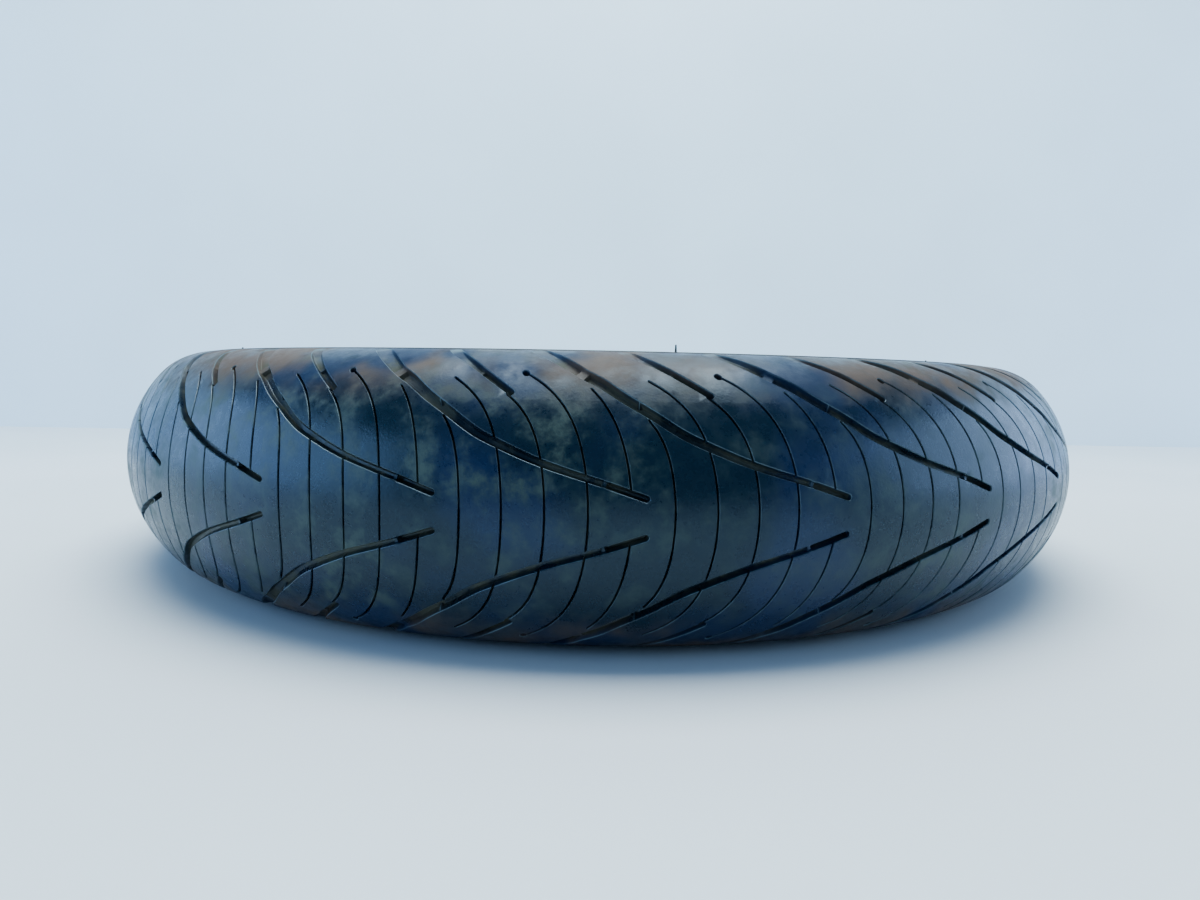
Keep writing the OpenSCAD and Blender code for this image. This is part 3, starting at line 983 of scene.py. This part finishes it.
@dataclass(frozen=True)
class TreadRubber:
    """Carbon-black tread compound, worn to a low sheen: dark, dusty in grooves and on shoulders."""

    name: str
    base: str = "#0e202c"
    bloom: str = "#3f4c45"
    # Painted sheen: blue-violet patches that stand in for a reflection on the rubber
    violet_sheen: str = "#1d2c4c"
    dust: str = "#66574c"
    bluish_patch: str = "#25344c"
    floor_dust: str = "#57584b"
    # Painted highlight along the edges of the cuts
    edge_highlight: str = "#6d7f86"
    dust_start: float = 38.0
    dust_full: float = 64.0
    roughness: float = 0.3

    def make(self) -> bpy.types.Material:
        """Builds the material."""
        # Oil and fine wear leave a blue-tinted gloss on the dark rubber
        material, tree, shader = blank_material(
            self.name, IOR=1.52, Specular_Tint=(0.72, 0.88, 1.0, 1.0)
        )
        where = add(tree, "TexCoord", out="Object")
        arc = add(tree, "Attribute", out="Fac", attribute_name="arc_mm")
        depth = add(tree, "Attribute", out="Fac", attribute_name="groove_mm")
        patches = clouds(tree, where, 38, 5, 0.62)
        wide = clouds(tree, where, 110, 3, 0.5, 3.1)
        tint = clouds(tree, where, 60, 3, 0.5, 9.4)
        grain = clouds(tree, where, 1.1, 3, 0.6)
        fine = clouds(tree, where, 4.5, 5, 0.7, 1.7)
        waves = clouds(tree, where, 24, 2, 0.4, 7.7)
        smudges = clouds(tree, where, 15, 5, 0.65, 5.3)
        # Wax rises to the skin of old rubber and dries in greenish grey clouds
        spots = add(tree, "MapRange", (smudges, 0.47, 0.68), **STEP)
        regions = add(tree, "MapRange", (wide, 0.36, 0.6, 0.35, 1.0), **STEP)
        flecks = add(tree, "MapRange", (fine, 0.3, 0.6, 0.45, 1.0), **STEP)
        bloom = add(tree, "Math", (spots, regions), **TIMES)
        bloom = add(tree, "Math", (bloom, flecks), **TIMES)
        # Blue-violet patches mixed into the base colour are a painted sheen, a reflection drawn into
        # the colour
        tinted = add(tree, "MapRange", (tint, 0.45, 0.66, 0.0, 0.6), **STEP)
        values = {SHARE: tinted, FIRST: srgb(self.base), SECOND: srgb(self.violet_sheen)}
        colour = add(tree, "Mix", values, MIXED, **COLOURS)
        values = {SHARE: bloom, FIRST: colour, SECOND: srgb(self.bloom)}
        colour = add(tree, "Mix", values, MIXED, **COLOURS)
        # Road dust clings to the shoulders, which the road doesn't rub clean
        inward = add(tree, "Math", (arc, -13.0), **PLUS)
        reach = add(tree, "Math", (smudges, 26.0, inward), **TIMES_PLUS)
        outside = add(tree, "MapRange", (reach, self.dust_start, self.dust_full), **STEP)
        patchy = add(tree, "MapRange", (patches, 0.38, 0.6, 0.35, 0.95), **STEP)
        shoulder = add(tree, "Math", (outside, patchy), **TIMES)
        # Where the tint clouds run high, the shoulder colour turns bluish instead of brown
        bluish = add(tree, "MapRange", (tint, 0.5, 0.62), **STEP)
        values = {SHARE: bluish, FIRST: srgb(self.dust), SECOND: srgb(self.bluish_patch)}
        dust = add(tree, "Mix", values, MIXED, **COLOURS)
        values = {SHARE: shoulder, FIRST: colour, SECOND: dust}
        colour = add(tree, "Mix", values, MIXED, **COLOURS)
        # More of it lies on the grooves' floors, in patches
        deep = add(tree, "MapRange", (depth, 1.2, 2.4), **STEP)
        settled = add(tree, "MapRange", (smudges, 0.38, 0.62, 0.05, 0.85), **STEP)
        floor = add(tree, "Math", (deep, settled), **TIMES)
        values = {SHARE: floor, FIRST: colour, SECOND: srgb(self.floor_dust)}
        colour = add(tree, "Mix", values, MIXED, **COLOURS)
        # A pale colour along the cuts' edges, in patches, is a painted highlight
        below = add(tree, "MapRange", (depth, 0.02, 0.14), **STEP)
        above = add(tree, "MapRange", (depth, 0.2, 0.75, 1.0, 0.0), **STEP)
        highlight_patches = add(tree, "MapRange", (smudges, 0.35, 0.62, 0.15, 0.75), **STEP)
        worn = add(tree, "Math", (below, above), **TIMES)
        worn = add(tree, "Math", (worn, highlight_patches), **TIMES)
        values = {SHARE: worn, FIRST: colour, SECOND: srgb(self.edge_highlight)}
        colour = add(tree, "Mix", values, MIXED, **COLOURS)
        tree.links.new(colour, shader.inputs["Base Color"])
        # Dust and wax dull the gloss, which wanders with the wear
        dusty = add(tree, "Math", (shoulder, floor), operation="MAXIMUM")
        dull = add(tree, "Math", (dusty, 0.24, self.roughness), **TIMES_PLUS)
        dull = add(tree, "Math", (add(tree, "Math", (fine, 0.5), **MINUS), 0.3, dull), **TIMES_PLUS)
        dull = add(tree, "Math", (add(tree, "Math", (smudges, 0.5), **MINUS), 0.4, dull), **TIMES_PLUS)
        dull = add(tree, "Math", (bloom, 0.14, dull), **TIMES_PLUS)
        tree.links.new(dull, shader.inputs["Roughness"])
        gloss = add(tree, "MapRange", (shoulder, 0.0, 0.9, 0.5, 0.16), **STEP)
        tree.links.new(gloss, shader.inputs["Specular IOR Level"])
        # Wear leaves shallow waves, which bend the highlights. The pores between them are about
        # 0.1 mm wide, too fine to show, so the grain is drawn at 1.1 mm
        uneven = add(tree, "Bump", {"Height": waves, "Strength": 0.5, "Distance": 0.5 * MM})
        height = add(tree, "Math", (fine, 0.8, grain), **TIMES_PLUS)
        values = {"Height": height, "Strength": 0.4, "Distance": 0.14 * MM, "Normal": uneven}
        tree.links.new(add(tree, "Bump", values), shader.inputs["Normal"])
        return material


@dataclass(frozen=True)
class MouldedRubber:
    """Black rubber as it leaves the mould: an even satin skin with a fine grain and a little dust."""

    name: str
    base: str = "#1c2023"
    dust: str = "#4b4844"
    dust_share: float = 0.35
    roughness: float = 0.5
    grain_mm: float = 0.9

    def make(self) -> bpy.types.Material:
        """Builds the material."""
        # Carbon black keeps it nearly black, and thin dust greys it in patches
        material, tree, shader = blank_material(self.name, IOR=1.52)
        where = add(tree, "TexCoord", out="Object")
        patches = clouds(tree, where, 26, 4, 0.6)
        grain = clouds(tree, where, self.grain_mm, 3, 0.6)
        share = add(tree, "MapRange", (patches, 0.42, 0.7, 0.04, self.dust_share), **STEP)
        values = {SHARE: share, FIRST: srgb(self.base), SECOND: srgb(self.dust)}
        tree.links.new(add(tree, "Mix", values, MIXED, **COLOURS), shader.inputs["Base Color"])
        dull = add(tree, "Math", (share, 0.3, self.roughness), **TIMES_PLUS)
        dull = add(tree, "Math", (grain, 0.12, dull), **TIMES_PLUS)
        tree.links.new(dull, shader.inputs["Roughness"])
        # The mould's blasted face prints a grain that spreads the highlight. The real one is about
        # 0.1 mm, too fine to show, so it is drawn coarser
        bump = add(tree, "Bump", {"Height": grain, "Strength": 0.4, "Distance": 0.1 * MM})
        tree.links.new(bump, shader.inputs["Normal"])
        return material


@dataclass(frozen=True)
class CordLayer:
    """Cords laid side by side: the colour and height follow the cord spacing round the axle."""

    name: str
    base: str
    gap: str
    spacing_mm: float
    metallic: float = 0.0
    roughness: float = 0.6

    def make(self) -> bpy.types.Material:
        """Builds the material."""
        # Each cord is a pale ridge, and the rubber between two is a dark line
        material, tree, shader = blank_material(self.name, Metallic=self.metallic)
        where = add(tree, "TexCoord", out="Object")
        axes = add(tree, "SeparateXYZ", (where,)).node.outputs
        turn = add(tree, "Math", (axes["Y"], axes["X"]), operation="ARCTAN2")
        count = round(2 * math.pi * CORD_R / self.spacing_mm)
        turns = add(tree, "Math", (turn, float(count)), **TIMES)
        wave = add(tree, "Math", (turns,), operation="COSINE")
        fibre = clouds(tree, where, 0.8, 3, 0.6)
        ridge = add(tree, "Math", (fibre, 0.5, wave), **TIMES_PLUS)
        share = add(tree, "MapRange", (ridge, -0.6, 0.7), **STEP)
        values = {SHARE: share, FIRST: srgb(self.gap), SECOND: srgb(self.base)}
        tree.links.new(add(tree, "Mix", values, MIXED, **COLOURS), shader.inputs["Base Color"])
        dull = add(tree, "Math", (fibre, 0.2, self.roughness - 0.1), **TIMES_PLUS)
        tree.links.new(dull, shader.inputs["Roughness"])
        bump = add(tree, "Bump", {"Height": share, "Strength": 0.5, "Distance": 0.2 * MM})
        tree.links.new(bump, shader.inputs["Normal"])
        return material


HIDDEN_FINISHES = {
    # Sheet rubber inside the tyre, clean and unworn: plain, nearly black and satin
    "tread_base": MouldedRubber("tread base compound", base="#202326", roughness=0.55),
    "belt_rubber": MouldedRubber("belt skim rubber", base="#2a2826", roughness=0.5),
    "belt_edge_strip": MouldedRubber("belt edge gum strip", base="#26272a", roughness=0.5),
    "bead_filler": MouldedRubber("hard bead filler rubber", base="#1d2023", roughness=0.42),
    # Cloth dipped in adhesive turns tan to brown, with a rib at each cord
    "carcass_ply": CordLayer("rubberised rayon ply", "#6b5a3e", "#2c2824", 1.2),
    "chafer": CordLayer("nylon chafer fabric", "#4a4236", "#26241f", 1.0),
    "bead_wrap": CordLayer("bead wrap tape", "#54504a", "#2a2826", 2.0),
    # Plating keeps the rubber on steel: a warm yellow metal, twisted cord duller than smooth wire
    "belt_cord": CordLayer(
        "brass-plated steel cord", "#a88f5c", "#6d5a36", 3.0, metallic=1.0, roughness=0.35
    ),
    "bead_wire": CordLayer(
        "bronze-plated bead wire", "#b08d57", "#7a5f38", 6.0, metallic=1.0, roughness=0.3
    ),
}


def dress_hidden_layers() -> None:
    """Gives every CAD node that stays its own finish."""
    for start, finish in HIDDEN_FINISHES.items():
        material = finish.make()
        for name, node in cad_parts.items():
            if name.startswith(start):
                node.data.materials.clear()
                node.data.materials.append(material)
                log.info("%s: %s", name, material.name)


# ---------------------------------------------------------------- studio


@dataclass(frozen=True)
class Studio:
    """A plain pale floor and wall, soft light and the camera.

    The floor, the wall and the lamps are in metres, the camera's distance and rise in millimetres
    and its angles in radians.
    """

    floor_z: float
    wall_y: float = 0.89
    plane_size: float = 8.0
    lens: float = 22.85
    distance: float = 567.5
    rise: float = 49.3
    swing: float = 0.0411
    pitch: float = 0.0927
    roll: float = 0.0209
    yaw: float = 0.0015

    def paint(self, name: str, colour: str, size_mm: float) -> bpy.types.Material:
        """A pale matt paint, whose faint clouds keep the plane from looking printed."""
        material, tree, shader = blank_material(name, Roughness=0.75)
        where = add(tree, "TexCoord", out="Object")
        share = add(tree, "MapRange", (clouds(tree, where, size_mm, 2), 0.3, 0.7, 0.0, 0.08), **STEP)
        values = {SHARE: share, FIRST: srgb(colour), SECOND: srgb("#9fb0b6")}
        tree.links.new(add(tree, "Mix", values, MIXED, **COLOURS), shader.inputs["Base Color"])
        return material

    def backdrop(self) -> None:
        """The floor under the tyre and the wall behind it."""
        half = self.plane_size / 2
        for name, place, turn, colour in (
            ("floor", (0, 0, self.floor_z), (0, 0, 0), "#d9dee0"),
            ("wall", (0, self.wall_y, half + self.floor_z), (math.pi / 2, 0, 0), "#e0f1f8"),
        ):
            bm = bmesh.new()
            bmesh.ops.create_grid(bm, x_segments=1, y_segments=1, size=half)
            spot = Matrix.LocRotScale(Vector(place), Euler(turn), None)
            bmesh.ops.transform(bm, matrix=spot, verts=bm.verts[:])
            mesh = bpy.data.meshes.new(name)
            bm.to_mesh(mesh)
            bm.free()
            mesh.materials.append(self.paint(f"{name} paint", colour, 300))
            plane = bpy.data.objects.new(name, mesh)
            bpy.context.scene.collection.objects.link(plane)

    def lamp(
        self, name: str, place: tuple[float, float, float], size: tuple[float, float],
        watts: float, colour: str,
    ) -> None:
        """A soft panel light turned towards the tyre.

        Args:
            name: the lamp's name.
            place: where it stands.
            size: its width and height.
            watts: its power.
            colour: sRGB hex colour of its light.
        """
        light = bpy.data.lights.new(name, "AREA")
        light.shape, light.energy, light.color = "RECTANGLE", watts, srgb(colour)[:3]
        light.size, light.size_y = size
        lamp = bpy.data.objects.new(name, light)
        lamp.location = place
        lamp.rotation_euler = (-Vector(place)).to_track_quat("-Z", "Y").to_euler()
        bpy.context.scene.collection.objects.link(lamp)

    def lights(self) -> None:
        """Soft light from above and both sides, and a cool even surround."""
        self.lamp("top", (0.0, 0.0, 1.9), (1.8, 1.4), 62.0, "#f1fafb")
        self.lamp("left", (-1.9, -0.5, 0.5), (2.4, 1.1), 27.0, "#b0d2ff")
        self.lamp("right", (1.9, -0.2, 0.5), (2.2, 1.1), 22.0, "#c2dbff")
        world = bpy.data.worlds.new("surround")
        world.use_nodes = True
        background = world.node_tree.nodes["Background"]
        background.inputs["Color"].default_value = srgb("#a6d3ff")
        background.inputs["Strength"].default_value = 0.34
        bpy.context.scene.world = world
        bpy.context.scene.view_settings.look = "AgX - Medium High Contrast"

    def camera(self) -> None:
        """The camera, a little above the mid plane and close to the tread."""
        data = bpy.data.cameras.new("camera")
        data.lens, data.sensor_width = self.lens, 36.0
        data.clip_start = 0.01
        camera = bpy.data.objects.new("camera", data)
        swing = Matrix.Rotation(-self.swing, 4, "Z")
        place = Matrix.Translation(Vector((0, -self.distance, self.rise)) * MM)
        look = Matrix.Rotation(-self.yaw, 4, "Z") @ Matrix.Rotation(math.pi / 2 - self.pitch, 4, "X")
        camera.matrix_world = swing @ place @ look @ Matrix.Rotation(self.roll, 4, "Z")
        bpy.context.scene.collection.objects.link(camera)
        bpy.context.scene.camera = camera


def main() -> None:
    """Builds the tyre, lights it and sets the camera."""
    logging.basicConfig(level=logging.INFO, format="%(name)s: %(message)s")
    low, high = CAD_BOX
    studio = Studio(floor_z=low.z)
    studio.camera()
    section = Section(
        outer_r=(high.x - low.x) / 2 / MM, half_w=(high.z - low.z) / 2 / MM - Section.rib_h
    )
    bead = Bead(section)
    cell = Cell(section, Pattern(pitch=2 * math.pi * section.outer_r / PITCHES))
    tread = Tread(section, cell)
    tread.centre(TreadRubber("centre tread compound").make())
    shoulder_rubber = TreadRubber("shoulder tread compound").make()
    wall_rubber = MouldedRubber("sidewall compound").make()
    # Rim cushions rub on the metal and stay cleaner and glossier than the sidewalls
    bead_rubber = MouldedRubber(
        "rim cushion compound", base="#181b1d", roughness=0.42, dust_share=0.2
    ).make()
    for side in Side:
        tread.shoulder(side, shoulder_rubber)
        wall = Wall(section, bead, side)
        wall.sidewall(wall_rubber)
        wall.cushion(bead_rubber)
    # Butyl is blacker than tread rubber, with a coarse print of the curing bladder
    liner_rubber = MouldedRubber(
        "butyl inner liner", base="#15171a", dust="#3a3a3a", roughness=0.45, grain_mm=1.6
    ).make()
    Liner(section, bead).build(liner_rubber)
    dress_hidden_layers()
    studio.backdrop()
    studio.lights()


if __name__ == "__main__":
    main()
